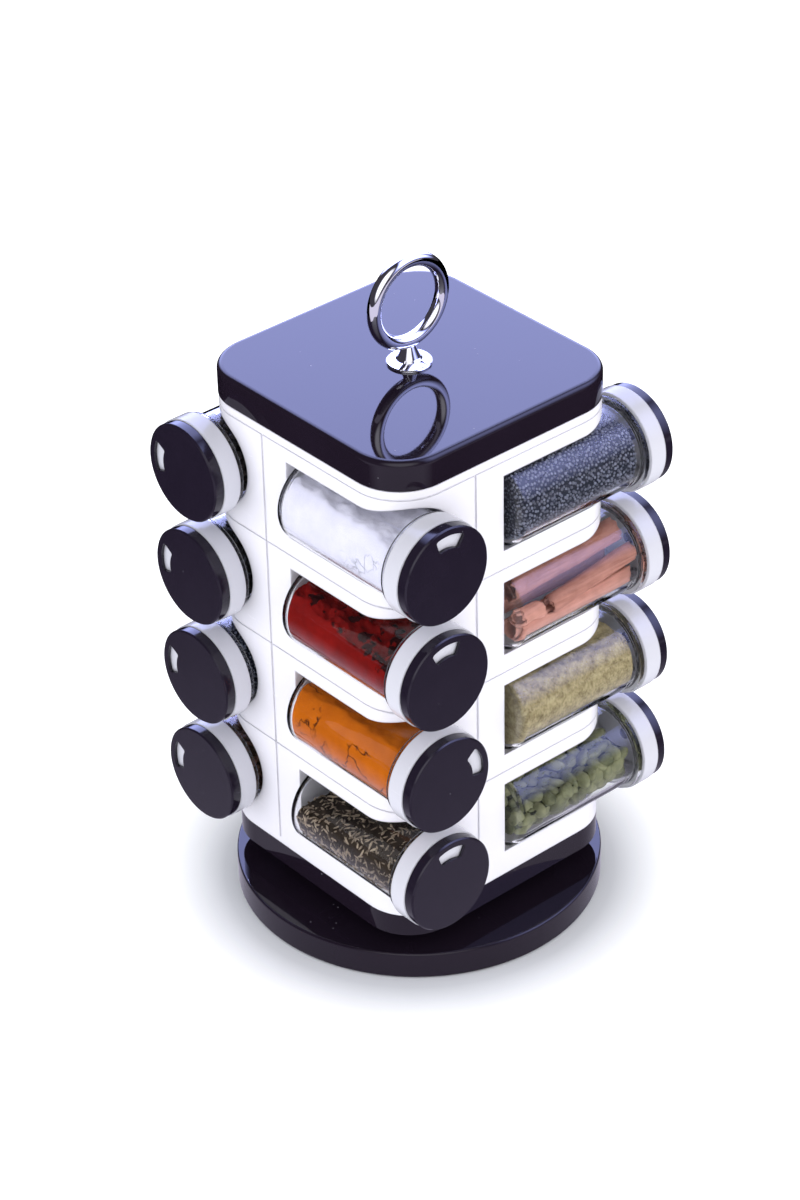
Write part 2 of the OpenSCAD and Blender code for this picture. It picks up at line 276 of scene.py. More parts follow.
# %% Moulded skin group
def build_moulded_skin():
    """Waves, rounded edges, hairlines and dust, for any moulded plastic."""
    tree, given, out = new_group(
        "moulded_skin", "ShaderNodeTree",
        [("Edge Radius", "Float", 0.0006), ("Wave Size", "Float", 0.02), ("Wave Depth", "Float", 0.00002),
         ("Smoothest", "Float", 0.08), ("Roughest", "Float", 0.2)],
        [("Roughness", "Float"), ("Normal", "Vector"), ("Tone", "Float"), ("Dust", "Float")])
    where = wire(tree, "ShaderNodeTexCoord").outputs["Object"]
    wave_scale = maths(tree, "DIVIDE", 1.0, given["Wave Size"])
    waves = wire(tree, "ShaderNodeTexNoise", {"Vector": where, "Scale": wave_scale, "Detail": 1.0}).outputs[0]
    stretched = wire(tree, "ShaderNodeMapping",
                     {"Vector": where, "Rotation": (0.4, 0.3, 0.6), "Scale": (1, 14, 14)})
    hairs = wire(tree, "ShaderNodeTexNoise",
                 {"Vector": stretched.outputs[0], "Scale": 90.0, "Detail": 3.0}).outputs[0]
    hairs = spread(tree, hairs, 0.60, 0.72)
    flecks = wire(tree, "ShaderNodeTexVoronoi", {"Vector": where, "Scale": 210.0}).outputs["Distance"]
    rare = wire(tree, "ShaderNodeTexNoise", {"Vector": where, "Scale": 45.0, "Detail": 2.0}).outputs[0]
    dust = maths(tree, "MULTIPLY", spread(tree, flecks, 0.09, 0.05), spread(tree, rare, 0.60, 0.66))
    worn = maths(tree, "ADD", maths(tree, "MULTIPLY", hairs, 0.5), maths(tree, "MULTIPLY", waves, 0.5))
    rounded = wire(tree, "ShaderNodeBevel", {"Radius": given["Edge Radius"]}, samples=4)
    skin = wire(tree, "ShaderNodeBump",
                {"Height": waves, "Distance": given["Wave Depth"], "Normal": rounded.outputs[0]})
    finish_group(tree, out, {
        "Roughness": spread(tree, worn, 0.2, 0.9, given["Smoothest"], given["Roughest"]),
        "Normal": skin.outputs[0], "Tone": waves, "Dust": dust})
    return tree


moulded_skin = build_moulded_skin()
print("groups", [g.name for g in bpy.data.node_groups])

# %% [markdown]
# Two colours of the same plastic are used: a nearly white one for the tower and the collars, and a
# dark aubergine for the turntable, the cover and the dials. The collars take a greyer copy of the white,
# which is painted shade. The tone group output only shifts the colour by a few percent, as pigment does. Dust
# shows on the dark plastic alone.


# %% Plastic finishes
def new_finish(name, settings):
    """A material with one Principled shader. Settings are plain values for its inputs."""
    material = bpy.data.materials.new(name)
    material.use_nodes = True
    tree = material.node_tree
    shader = tree.nodes["Principled BSDF"]
    for label, value in settings.items():
        shader.inputs[label].default_value = value
    return material, tree, shader.inputs


def place_group(tree, group, inputs):
    """Places a shader group in a material with its own values, and returns its outputs."""
    made = tree.nodes.new("ShaderNodeGroup")
    made.node_tree = group
    for label, value in dict(inputs).items():
        made.inputs[label].default_value = value
    return made.outputs


def plastic(name, low_tone, high_tone, dust_share, specular, **skin):
    """A glossy moulded plastic."""
    material, tree, shader = new_finish(name, {"Specular IOR Level": specular})
    sizes = {label.replace("_", " ").title(): value for label, value in skin.items()}
    effects = place_group(tree, moulded_skin, sizes)
    colour = blend_colours(tree, effects["Tone"], low_tone, high_tone)
    dusted = maths(tree, "MULTIPLY", effects["Dust"], dust_share)
    tree.links.new(blend_colours(tree, dusted, colour, (0.5, 0.5, 0.55)), shader["Base Color"])
    tree.links.new(effects["Roughness"], shader["Roughness"])
    tree.links.new(effects["Normal"], shader["Normal"])
    return material


white_skin = {"edge_radius": 0.0012, "wave_size": 0.03, "wave_depth": 0.00002, "smoothest": 0.18,
              "roughest": 0.32}
white_plastic = plastic("white_plastic", (0.80, 0.795, 0.845), (0.83, 0.82, 0.875), 0.0, 0.3, **white_skin)
# Painted shade: the collars are the tower's white plastic, made greyer for the dimmer light on them.
collar_shaded_plastic = plastic("collar_shaded_plastic", (0.58, 0.585, 0.635), (0.61, 0.61, 0.665), 0.0, 0.3, **white_skin)
dark_plastic = plastic("dark_plastic", (0.010, 0.0065, 0.012), (0.013, 0.0085, 0.016), 0.5, 0.28,
                       edge_radius=0.0005, wave_size=0.03, wave_depth=0.00001, smoothest=0.03, roughest=0.10)
dial_plastic = plastic("dial_plastic", (0.011, 0.008, 0.016), (0.014, 0.010, 0.020), 0.15, 0.28,
                       edge_radius=0.0004, wave_size=0.01, wave_depth=0.00001, smoothest=0.10, roughest=0.22)
print("plastics", white_plastic.name, collar_shaded_plastic.name, dark_plastic.name, dial_plastic.name)


# %% Metal, steel and rubber
def metal(name, colour, smoothest, roughest):
    """Polished metal with faint smears and hairlines."""
    material, tree, shader = new_finish(name, {"Metallic": 1.0})
    sizes = {"Edge Radius": 0.0003, "Wave Size": 0.012, "Wave Depth": 0.000004}
    effects = place_group(tree, moulded_skin, {**sizes, "Smoothest": smoothest, "Roughest": roughest})
    duller = tuple(0.93 * c for c in colour)
    tree.links.new(blend_colours(tree, effects["Tone"], duller, colour), shader["Base Color"])
    tree.links.new(effects["Roughness"], shader["Roughness"])
    tree.links.new(effects["Normal"], shader["Normal"])
    return material


ring_chrome = metal("ring_chrome", (0.93, 0.93, 0.96), smoothest=0.01, roughest=0.05)
bearing_steel = metal("bearing_steel", (0.62, 0.61, 0.60), smoothest=0.12, roughest=0.30)
foot_rubber = plastic("foot_rubber", (0.030, 0.030, 0.032), (0.045, 0.045, 0.048), 0.8, 0.3,
                      edge_radius=0.0006, wave_size=0.002, wave_depth=0.00008, smoothest=0.6, roughest=0.85)
print("metals", ring_chrome.name, bearing_steel.name)

# %% [markdown]
# ## Dressing the engineering pieces
# Each piece of the engineering model keeps its own mesh, because its shape is already the real
# one. It only gets its finish.


# %% Finishes on the engineering pieces
def dress(node, material):
    """Gives a piece of the engineering model its finish."""
    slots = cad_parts[node].data.materials
    slots.clear()
    slots.append(material)


PLACES = [f"{face}_{tier}" for face in FACES for tier in TIERS]
for node in ("base_plate", "platform", "top_cover"):
    dress(node, dark_plastic)
for node in ["top_frame"] + [f"tray_{tier}" for tier in TIERS]:
    dress(node, white_plastic)
for place in PLACES:
    dress(f"collar_{place}", collar_shaded_plastic)
    dress(f"dial_{place}", dial_plastic)
dress("ring_handle", ring_chrome)
dress("spindle", bearing_steel)
dress("ball_bearing", bearing_steel)
dress("base_feet", foot_rubber)
print("dressed", 12 + 2 * len(PLACES), "pieces")

# %% [markdown]
# ## The clear jars
# A jar is blown in clear plastic: a base with a soft rounded corner and a shallow push-up, a
# straight wall, a bead that stops the collar, and a threaded neck. That is a turned shape, so
# it is made as a lathe would make it, by spinning an outline. The outline runs all the way
# round the wall, outside and inside, because light has to bend on both of its faces.


# %% Where the jars lie
front_box = {tier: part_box(f"jar_front_{tier}") for tier in TIERS}
jar_length = front_box[1][1].x - front_box[1][0].x
bead_r = (front_box[1][1].z - front_box[1][0].z) / 2


def at_bay(face, tier):
    """From a jar's own frame, axis along +Z with the base at zero, to its place in the tower."""
    low, high = front_box[tier]
    place = Matrix.Translation((low.x, (low.y + high.y) / 2, (low.z + high.z) / 2))
    quarter = Matrix.Rotation(math.radians(90 * FACES.index(face)), 4, "Z")
    return quarter @ place @ Matrix.Rotation(math.radians(90), 4, "Y")


print("jar length", round(jar_length / mm, 1), "bead radius", round(bead_r / mm, 1))


# %% Lathe
def arc(centre_r, centre_z, radius, start, end, steps=5):
    """Points of an arc in an outline, from one angle to another in degrees."""
    angles = [math.radians(start + (end - start) * k / steps) for k in range(steps + 1)]
    return [(centre_r + radius * math.cos(a), centre_z + radius * math.sin(a)) for a in angles]


def turned(name, outline, segments=96):
    """A closed solid made by spinning an outline of (radius, height) points about Z."""
    work = bmesh.new()
    rings = []
    for radius, height in outline:
        count = segments if radius > 1e-7 else 1
        turns = [2 * math.pi * k / segments for k in range(count)]
        rings.append([work.verts.new((radius * math.cos(t), radius * math.sin(t), height)) for t in turns])
    for first, second in zip(rings, rings[1:] + rings[:1]):
        if len(first) == 1 and len(second) == 1:
            continue
        for k in range(segments):
            j = (k + 1) % segments
            corners = [first[k % len(first)], first[j % len(first)], second[j % len(second)],
                       second[k % len(second)]]
            work.faces.new(list(dict.fromkeys(corners)))
    bmesh.ops.recalc_face_normals(work, faces=work.faces)
    mesh = bpy.data.meshes.new(name)
    work.to_mesh(mesh)
    work.free()
    mesh.shade_smooth()
    return mesh


def put(name, mesh, place, body, replaced=None):
    """Makes a piece from a mesh, with its place in its points, and lets it ride on its body."""
    piece = bpy.data.objects.new(name, mesh)
    scene.collection.objects.link(piece)
    mesh.transform(place)
    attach(piece, body)
    if replaced:
        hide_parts(replaced)
    return piece


print("lathe ready")

# %% Jar shape
JAR_R = 22.7
WALL = 1.6
BASE_T = 2.2
BODY_L = 78.6
BEAD_T = 2.6
NECK_R = 21.3
NECK_WALL = 1.5
THREAD_H = 0.6
INNER_R = JAR_R - WALL


def jar_outline():
    """Round the jar's wall, in millimetres: up the outside, over the lip and back down inside."""
    end = jar_length / mm
    bead = bead_r / mm
    points = [(0, 0.9), (9, 0.7), (16, 0.2), (18.5, 0)] + arc(JAR_R - 2.6, 2.6, 2.6, -90, 0, 8)
    points += [(JAR_R, BODY_L - 0.6)] + arc(JAR_R + 0.5, BODY_L - 0.5, 0.5, 180, 90, 3)
    points += arc(bead - 0.7, BODY_L + 0.7, 0.7, -90, 0, 4) + arc(bead - 0.7, BODY_L + BEAD_T - 0.7, 0.7,
                                                                  0, 90, 4)
    neck_z = BODY_L + BEAD_T
    points += arc(NECK_R + 0.3, neck_z + 0.3, 0.3, 270, 180, 2)
    for k in range(2):
        low = neck_z + 2 + 2.6 * k
        points += [(NECK_R, low), (NECK_R + THREAD_H, low + 0.35), (NECK_R + THREAD_H, low + 0.85),
                   (NECK_R, low + 1.2)]
    points += arc(NECK_R - 0.5, end - 0.5, 0.5, 0, 90, 3)
    points += arc(NECK_R - NECK_WALL + 0.5, end - 0.5, 0.5, 90, 180, 3)
    points += [(NECK_R - NECK_WALL, BODY_L + 1.4)] + arc(INNER_R - 1, BODY_L - 0.9, 1.0, 40, 0, 4)
    points += [(INNER_R, BASE_T + 2.0)] + arc(INNER_R - 1.8, BASE_T + 1.8, 1.8, 0, -90, 6)
    points += [(9, BASE_T + 0.6), (0, BASE_T + 0.8)]
    return [(radius * mm, height * mm) for radius, height in points]


def build_clear_plastic():
    """Clear jar plastic. Lamps shine straight through it, so that the spices are lit."""
    settings = {"Base Color": (0.985, 0.99, 0.99, 1), "Transmission Weight": 1.0, "IOR": 1.27,
                "Roughness": 0.015}
    material, tree, shader = new_finish("jar_clear", settings)
    where = wire(tree, "ShaderNodeTexCoord").outputs["Object"]
    wobble = wire(tree, "ShaderNodeTexNoise", {"Vector": where, "Scale": 70.0, "Detail": 1.0}).outputs[0]
    surface = wire(tree, "ShaderNodeBump", {"Height": wobble, "Distance": 0.00006}).outputs[0]
    tree.links.new(surface, shader["Normal"])
    lamp_ray = wire(tree, "ShaderNodeLightPath").outputs["Is Shadow Ray"]
    through = wire(tree, "ShaderNodeBsdfTransparent", {"Color": (0.96, 0.96, 0.97, 1)}).outputs[0]
    solid = tree.nodes["Principled BSDF"].outputs[0]
    both = wire(tree, "ShaderNodeMixShader", {0: lamp_ray, 1: solid, 2: through}).outputs[0]
    tree.links.new(both, tree.nodes["Material Output"].inputs["Surface"])
    return material


jar_clear = build_clear_plastic()
jar_mesh = turned("jar", jar_outline())
jar_mesh.materials.append(jar_clear)
for face in FACES:
    for tier in TIERS:
        place = f"{face}_{tier}"
        put(f"clear_jar_{place}", jar_mesh.copy(), at_bay(face, tier), f"jar_{place}",
            f"jar_{place}")
print("jar faces", len(jar_mesh.polygons))

# %% [markdown]
# ## How a jar is filled
# Whatever is in a jar lies against the lower wall and has a sloping, bumpy top. The heap starts
# as a turned plug that just fits the jar, and every point above the fill line is pressed down
# onto it. Powders show the heap itself. Seeds hide it: there it is only the bed that they lie on.


# %% Heap shape
def plug_outline(radius, low, high, corner, step):
    """A jar-shaped plug with rounded ends, with points at an even spacing along it."""
    points = [(0.0, low)] + [(r, low) for r in np.arange(step, radius - corner, step)]
    points += arc(radius - corner, low + corner, corner, -90, 0, 4)
    points += [(radius, z) for z in np.arange(low + corner + step, high - corner, step)]
    points += arc(radius - corner, high - corner, corner, 0, 90, 4)
    points += [(r, high) for r in np.arange(radius - corner - step, step / 2, -step)] + [(0.0, high)]
    return [(radius * mm, height * mm) for radius, height in points]


def heap(name, fill, slope, bump, bump_size, seed, margin=0.15, low=None, high=BODY_L - 1.5, step=1.1,
         segments=112):
    """A heap in a jar's frame, where -X is up. Its top is at fill millimetres above the axis
    at mid-length and climbs by slope millimetres along each millimetre towards the cap."""
    low = BASE_T + 1.0 if low is None else low
    mesh = turned(name, plug_outline(INNER_R - margin, low, high, 2.0, step), segments)
    middle = (low + high) / 2
    for vertex in mesh.vertices:
        x, y, z = (c / mm for c in vertex.co)
        shift = Vector((seed * 7.3, y / bump_size, z / bump_size))
        rough = bump * noise.fractal(shift, 0.9, 2.0, 4)
        level = fill + slope * (z - middle) + rough
        if -x > level:
            vertex.co.x = -level * mm
    return mesh


print("heap ready")

# %% [markdown]
# ## Powders
# Ground spice packs into a soft solid. Its colour shifts a little from clump to clump, single
# grains sparkle, and where it has settled it pulls open in fine branching cracks, painted dark as
# the shade inside them. The cracks follow the borders between the cells of a Voronoi pattern,
# bent by noise so that they wander, and only show where a slower noise lets them. Above a given
# level the powder is painted in the same dark colour, as painted shade for the jar's empty space.


# %% Powder group
def build_ground_powder():
    """Clumps, grains, settling cracks with painted shade, and painted shade above a level, for any ground
    spice.
    """
    tree, given, out = new_group(
        "ground_powder", "ShaderNodeTree",
        [("Clump Size", "Float", 0.006), ("Grain Size", "Float", 0.0005), ("Crack Spacing", "Float", 0.02),
         ("Crack Width", "Float", 0.02), ("Crack Share", "Float", 0.4), ("Place", "Vector", None),
         ("Hollow Level", "Float", 9.0), ("Hollow Slope", "Float", 0.0)],
        [("Tone", "Float"), ("Crack", "Float"), ("Normal", "Vector")])
    where = wire(tree, "ShaderNodeTexCoord").outputs["Object"]
    along, _, height = wire(tree, "ShaderNodeSeparateXYZ", {0: where}).outputs
    above = maths(tree, "ADD", height, maths(tree, "MULTIPLY", along, given["Hollow Slope"]))
    above = maths(tree, "SUBTRACT", above, given["Hollow Level"])
    where = wire(tree, "ShaderNodeVectorMath", {0: where, 1: given["Place"]}, operation="ADD").outputs[0]
    clump_scale = maths(tree, "DIVIDE", 1.0, given["Clump Size"])
    grain_scale = maths(tree, "DIVIDE", 1.0, given["Grain Size"])
    crack_scale = maths(tree, "DIVIDE", 1.0, given["Crack Spacing"])
    clumps = wire(tree, "ShaderNodeTexNoise",
                  {"Vector": where, "Scale": clump_scale, "Detail": 4.0}).outputs[0]
    grains = wire(tree, "ShaderNodeTexNoise",
                  {"Vector": where, "Scale": grain_scale, "Detail": 2.0}).outputs[0]
    drift = wire(tree, "ShaderNodeTexNoise",
                 {"Vector": where, "Scale": 140.0, "Detail": 3.0}).outputs["Color"]
    drift = wire(tree, "ShaderNodeVectorMath", {0: drift, "Scale": 0.012}, operation="SCALE").outputs[0]
    bent = wire(tree, "ShaderNodeVectorMath", {0: where, 1: drift}, operation="ADD").outputs[0]
    border = wire(tree, "ShaderNodeTexVoronoi", {"Vector": bent, "Scale": crack_scale},
                  feature="DISTANCE_TO_EDGE")
    line = spread(tree, border.outputs["Distance"], given["Crack Width"], 0.0)
    patch = wire(tree, "ShaderNodeTexNoise", {"Vector": where, "Scale": 38.0, "Detail": 1.0}).outputs[0]
    edge = maths(tree, "SUBTRACT", 1.0, given["Crack Share"])
    patch = spread(tree, patch, edge, maths(tree, "ADD", edge, 0.08))
    # The crack mask darkens the colour: painted shade in the cracks. Only the bump gives them real relief.
    crack = maths(tree, "MULTIPLY", line, patch)
    # Painted shade: above the void shade level the heap takes the dark crack colour, standing in for the
    # shadowed empty space of the jar.
    ragged = maths(tree, "MULTIPLY", maths(tree, "SUBTRACT", clumps, 0.5), 0.035)
    hollow = spread(tree, maths(tree, "ADD", above, ragged), 0.0, 0.0012, 0.0, 0.93)
    crack = maths(tree, "MAXIMUM", crack, hollow)
    tone = maths(tree, "ADD", maths(tree, "MULTIPLY", clumps, 0.7), maths(tree, "MULTIPLY", grains, 0.5))
    height = maths(tree, "SUBTRACT", maths(tree, "MULTIPLY", grains, 0.4), crack)
    relief = wire(tree, "ShaderNodeBump", {"Height": height, "Distance": 0.0004}).outputs[0]
    finish_group(tree, out, {"Tone": spread(tree, tone, 0.35, 0.85), "Crack": crack, "Normal": relief})
    return tree


ground_powder = build_ground_powder()


def powder(name, dark, light, crack_and_void_shade_colour, **sizes):
    """A ground spice, from its darkest to its lightest grain, with its cracks and the part above its void
    shade level painted dark as shade.
    """
    material, tree, shader = new_finish(name, {"Roughness": 0.9, "Specular IOR Level": 0.15})
    inputs = {label.replace("_", " ").title(): value for label, value in sizes.items()}
    effects = place_group(tree, ground_powder, inputs)
    grains = blend_colours(tree, effects["Tone"], dark, light)
    tree.links.new(blend_colours(tree, effects["Crack"], grains, crack_and_void_shade_colour), shader["Base Color"])
    tree.links.new(effects["Normal"], shader["Normal"])
    return material


def fill_with_powder(spice, face, tier, material, **shape):
    """Puts a heap of powder in one jar."""
    mesh = heap(spice, **shape)
    mesh.materials.append(material)
    place = f"{face}_{tier}"
    put(f"{spice}_{place}", mesh, at_bay(face, tier), f"jar_{place}")
    print(spice, len(mesh.polygons), "faces")


# %% The four powders
# Each powder's last colour is painted shade for its cracks. Salt and chilli also get it above their void
# shade level, as the shade of the empty space.
salt = powder("salt", (0.70, 0.70, 0.84), (0.86, 0.85, 0.97), (0.46, 0.47, 0.55), clump_size=0.008,
              grain_size=0.0005, crack_spacing=0.006, crack_width=0.05, crack_share=0.36, place=(0, 0, 0),
              hollow_level=0.296, hollow_slope=0.3)
chilli = powder("chilli_powder", (0.12, 0.0015, 0.001), (0.27, 0.004, 0.002), (0.012, 0.001, 0.001),
                clump_size=0.007,
                grain_size=0.0006, crack_spacing=0.02, crack_width=0.03, crack_share=0.25, place=(0.1, 0, 0),
                hollow_level=0.2105, hollow_slope=0.20)
turmeric = powder("turmeric", (0.40, 0.085, 0.001), (0.62, 0.15, 0.002), (0.04, 0.008, 0.001),
                  clump_size=0.010,
                  grain_size=0.0006, crack_spacing=0.026, crack_width=0.022, crack_share=0.55,
                  place=(0.2, 0, 0))
coriander = powder("coriander_powder", (0.13, 0.10, 0.045), (0.50, 0.43, 0.25), (0.07, 0.05, 0.02),
                   clump_size=0.004,
                   grain_size=0.0012, crack_spacing=0.012, crack_width=0.03, crack_share=0.36,
                   place=(0.3, 0, 0))
fill_with_powder("salt", "front", 4, salt, fill=15, slope=-0.02, bump=1.6, bump_size=9, seed=1)
fill_with_powder("chilli", "front", 3, chilli, fill=9.5, slope=-0.10, bump=3.4, bump_size=8, seed=2)
fill_with_powder("turmeric", "front", 2, turmeric, fill=16, slope=0.0, bump=1.2, bump_size=10, seed=3)
fill_with_powder("coriander", "right", 2, coriander, fill=16, slope=-0.03, bump=1.5, bump_size=9, seed=4)

# %% [markdown]
# ## Whole seeds
# Seeds are too many to place by hand, so Geometry Nodes scatter them. The tree spreads points
# over the heap with a smallest gap between them, sinks each one by its own amount, stands a
# seed on every point with its own turn, tilt and size, and gives it a random number that the
# material turns into its own shade. The heap itself stays below as a dark bed: painted shade in the gaps
# between the seeds.


# %% Seed layer tree
def build_seed_layer():
    """Scatters one kind of seed over a heap."""
    tree, given, out = new_group(
        "seed_layer", "GeometryNodeTree",
        [("Geometry", "Geometry", None), ("Kernel", "Object", None), ("Gap", "Float", 0.002),
         ("Sink", "Float", 0.001), ("Tilt", "Float", 0.3), ("Smallest", "Float", 0.85),
         ("Largest", "Float", 1.1),
         ("Seed", "Int", 1), ("Kernel Finish", "Material", None), ("Gap Shade Finish", "Material", None)],
        [("Geometry", "Geometry")])
    points = wire(tree, "GeometryNodeDistributePointsOnFaces", {
        "Mesh": given["Geometry"], "Distance Min": given["Gap"], "Density Max": 1000000.0,
        "Seed": given["Seed"]}, distribute_method="POISSON")
    depth = wire(tree, "FunctionNodeRandomValue", {2: 0.0, 3: given["Sink"], "Seed": given["Seed"]},
                 data_type="FLOAT")
    inward = maths(tree, "MULTIPLY", depth.outputs[1], -1.0)
    offset = wire(tree, "ShaderNodeVectorMath", {0: points.outputs["Normal"], "Scale": inward},
                  operation="SCALE")
    sunk = wire(tree, "GeometryNodeSetPosition",
                {"Geometry": points.outputs["Points"], "Offset": offset.outputs[0]})
    back = maths(tree, "MULTIPLY", given["Tilt"], -1.0)
    least = wire(tree, "ShaderNodeCombineXYZ", {"X": back, "Y": back, "Z": 0.0}).outputs[0]
    most = wire(tree, "ShaderNodeCombineXYZ",
                {"X": given["Tilt"], "Y": given["Tilt"], "Z": 2 * math.pi}).outputs[0]
    turn = wire(tree, "FunctionNodeRandomValue", {0: least, 1: most, "Seed": given["Seed"]},
                data_type="FLOAT_VECTOR")
    turn = wire(tree, "FunctionNodeEulerToRotation", {0: turn.outputs[0]}).outputs[0]
    turned_way = wire(tree, "FunctionNodeRotateRotation", {
        "Rotation": points.outputs["Rotation"], "Rotate By": turn}, rotation_space="LOCAL").outputs[0]
    size = wire(tree, "FunctionNodeRandomValue", {
        2: given["Smallest"], 3: given["Largest"], "Seed": maths(tree, "ADD", given["Seed"], 7.0)},
        data_type="FLOAT")
    kernel = wire(tree, "GeometryNodeObjectInfo", {"Object": given["Kernel"]}).outputs["Geometry"]
    seeds = wire(tree, "GeometryNodeInstanceOnPoints", {
        "Points": sunk.outputs[0], "Instance": kernel, "Rotation": turned_way, "Scale": size.outputs[1]})
    shade = wire(tree, "FunctionNodeRandomValue", {
        2: 0.0, 3: 1.0, "Seed": maths(tree, "ADD", given["Seed"], 13.0)}, data_type="FLOAT").outputs[1]
    shaded = wire(tree, "GeometryNodeStoreNamedAttribute", {
        "Geometry": seeds.outputs[0], "Name": "kernel_shade", "Value": shade}, data_type="FLOAT",
        domain="INSTANCE")
    real = wire(tree, "GeometryNodeRealizeInstances", {0: shaded.outputs[0]}).outputs[0]
    real = wire(tree, "GeometryNodeSetMaterial",
                {"Geometry": real, "Material": given["Kernel Finish"]}).outputs[0]
    # The heap under the seeds takes the painted shade finish.
    bed = wire(tree, "GeometryNodeSetMaterial", {
        "Geometry": given["Geometry"], "Material": given["Gap Shade Finish"]}).outputs[0]
    joined = tree.nodes.new("GeometryNodeJoinGeometry")
    tree.links.new(bed, joined.inputs[0])
    tree.links.new(real, joined.inputs[0])
    finish_group(tree, out, {"Geometry": joined.outputs[0]})
    return tree


seed_layer = build_seed_layer()


def run_tree(name, mesh, tree, inputs):
    """Runs a Geometry Nodes tree on a mesh and returns the result as a plain mesh."""
    carrier = bpy.data.objects.new(name + "_carrier", mesh)
    scene.collection.objects.link(carrier)
    modifier = carrier.modifiers.new("nodes", "NODES")
    modifier.node_group = tree
    sockets = {s.name: s.identifier for s in tree.interface.items_tree if s.in_out == "INPUT"}
    for label, value in inputs.items():
        modifier[sockets[label]] = value
    ready = carrier.evaluated_get(bpy.context.evaluated_depsgraph_get())
    result = bpy.data.meshes.new_from_object(ready)
    carrier.modifiers.remove(modifier)
    bpy.data.objects.remove(carrier)
    result.name = name
    return result


print("seed tree nodes", len(seed_layer.nodes))

# %% [markdown]
# A kernel is one seed, made once in its own small mesh: a ball of a few rings, stretched to the
# seed's length and pulled to points or creased as the real seed is. It is kept coarse, because
# a jar holds thousands of them.


# %% Kernels
def make_kernel(name, length, width, thick, pointed=0.0, bend=0.0, ridges=0, ridge_depth=0.0, around=6,
                along=5):
    """A seed lying along X, in millimetres. pointed narrows its ends and bend curves it."""
    work = bmesh.new()
    rings = []
    for step in range(along + 1):
        t = -math.cos(math.pi * step / along)
        swell = math.sqrt(max(0.0, 1 - t * t)) ** (1 + pointed)
        centre = Vector((t * length / 2, bend * (t * t - 0.5), 0))
        count = 1 if step in (0, along) else around
        ring = []
        for k in range(count):
            a = 2 * math.pi * k / around
            crease = 1 + ridge_depth * math.cos(ridges * a)
            side = Vector((0, width / 2 * math.cos(a), thick / 2 * math.sin(a))) * swell * crease
            ring.append(work.verts.new((centre + side) * mm))
        rings.append(ring)
    for first, second in zip(rings, rings[1:]):
        for k in range(around):
            j = (k + 1) % around
            corners = [first[k % len(first)], first[j % len(first)], second[j % len(second)],
                       second[k % len(second)]]
            work.faces.new(list(dict.fromkeys(corners)))
    bmesh.ops.recalc_face_normals(work, faces=work.faces)
    mesh = bpy.data.meshes.new(name)
    work.to_mesh(mesh)
    work.free()
    mesh.shade_smooth()
    return bpy.data.objects.new(name, mesh)


# %% Seed colours
def build_seed_coat():
    """A seed's own shade, its mottling and a fine bumpy relief."""
    tree, given, out = new_group(
        "seed_coat", "ShaderNodeTree",
        [("Mottle Size", "Float", 0.0015), ("Mottle Share", "Float", 0.4), ("Rib Size", "Float", 0.0006)],
        [("Tone", "Float"), ("Normal", "Vector")])
    own = wire(tree, "ShaderNodeAttribute", attribute_name="kernel_shade").outputs["Fac"]
    where = wire(tree, "ShaderNodeTexCoord").outputs["Object"]
    mottle_scale = maths(tree, "DIVIDE", 1.0, given["Mottle Size"])
    mottle = wire(tree, "ShaderNodeTexNoise",
                  {"Vector": where, "Scale": mottle_scale, "Detail": 2.0}).outputs[0]
    fine_scale = maths(tree, "DIVIDE", 1.0, given["Rib Size"])
    fine = wire(tree, "ShaderNodeTexNoise", {"Vector": where, "Scale": fine_scale, "Detail": 1.0}).outputs[0]
    kept = maths(tree, "MULTIPLY", own, maths(tree, "SUBTRACT", 1.0, given["Mottle Share"]))
    patchy = maths(tree, "MULTIPLY", spread(tree, mottle, 0.3, 0.7), given["Mottle Share"])
    relief = wire(tree, "ShaderNodeBump", {"Height": fine, "Distance": 0.0002}).outputs[0]
    finish_group(tree, out, {"Tone": maths(tree, "ADD", kept, patchy), "Normal": relief})
    return tree


seed_coat = build_seed_coat()


def seed_finish(name, dark, light, roughness=0.55, specular=0.3, mottle_size=0.0015, mottle_share=0.4):
    """The coat of one kind of seed, from its darkest to its lightest."""
    material, tree, shader = new_finish(name, {"Roughness": roughness, "Specular IOR Level": specular})
    coat = place_group(tree, seed_coat, {"Mottle Size": mottle_size, "Mottle Share": mottle_share})
    tree.links.new(blend_colours(tree, coat["Tone"], dark, light), shader["Base Color"])
    tree.links.new(coat["Normal"], shader["Normal"])
    return material


def keep_inside(mesh, reach):
    """Presses every point that would pass the jar's wall or ends back against them."""
    points = np.zeros(len(mesh.vertices) * 3)
    mesh.vertices.foreach_get("co", points)
    points = points.reshape(-1, 3)
    radius = np.hypot(points[:, 0], points[:, 1])
    points[:, :2] *= np.minimum(1, reach / np.maximum(radius, 1e-9))[:, None]
    points[:, 2] = np.clip(points[:, 2], (BASE_T + 0.95) * mm, (BODY_L + 5) * mm)
    mesh.vertices.foreach_set("co", points.ravel())
    mesh.update()


def fill_with_seeds(spice, face, tier, kernel, finish, gap_shade_finish, gap, sink, tilt, seed,
                    sizes=(0.85, 1.1), **shape):
    """Puts a heap of seeds in one jar, on a bed that stands back from the wall and whose dark finish is
    painted shade between the seeds.
    """
    bed = heap(spice + "_bed", step=2.2, segments=48, seed=seed, **shape)
    mesh = run_tree(spice, bed, seed_layer, {
        "Kernel": kernel, "Gap": gap * mm, "Sink": sink * mm, "Tilt": tilt, "Smallest": sizes[0],
        "Largest": sizes[1], "Seed": seed, "Kernel Finish": finish, "Gap Shade Finish": gap_shade_finish})
    keep_inside(mesh, (INNER_R - 0.1) * mm)
    place = f"{face}_{tier}"
    put(f"{spice}_{place}", mesh, at_bay(face, tier), f"jar_{place}")
    mesh.calc_loop_triangles()
    print(spice, len(mesh.loop_triangles), "triangles")


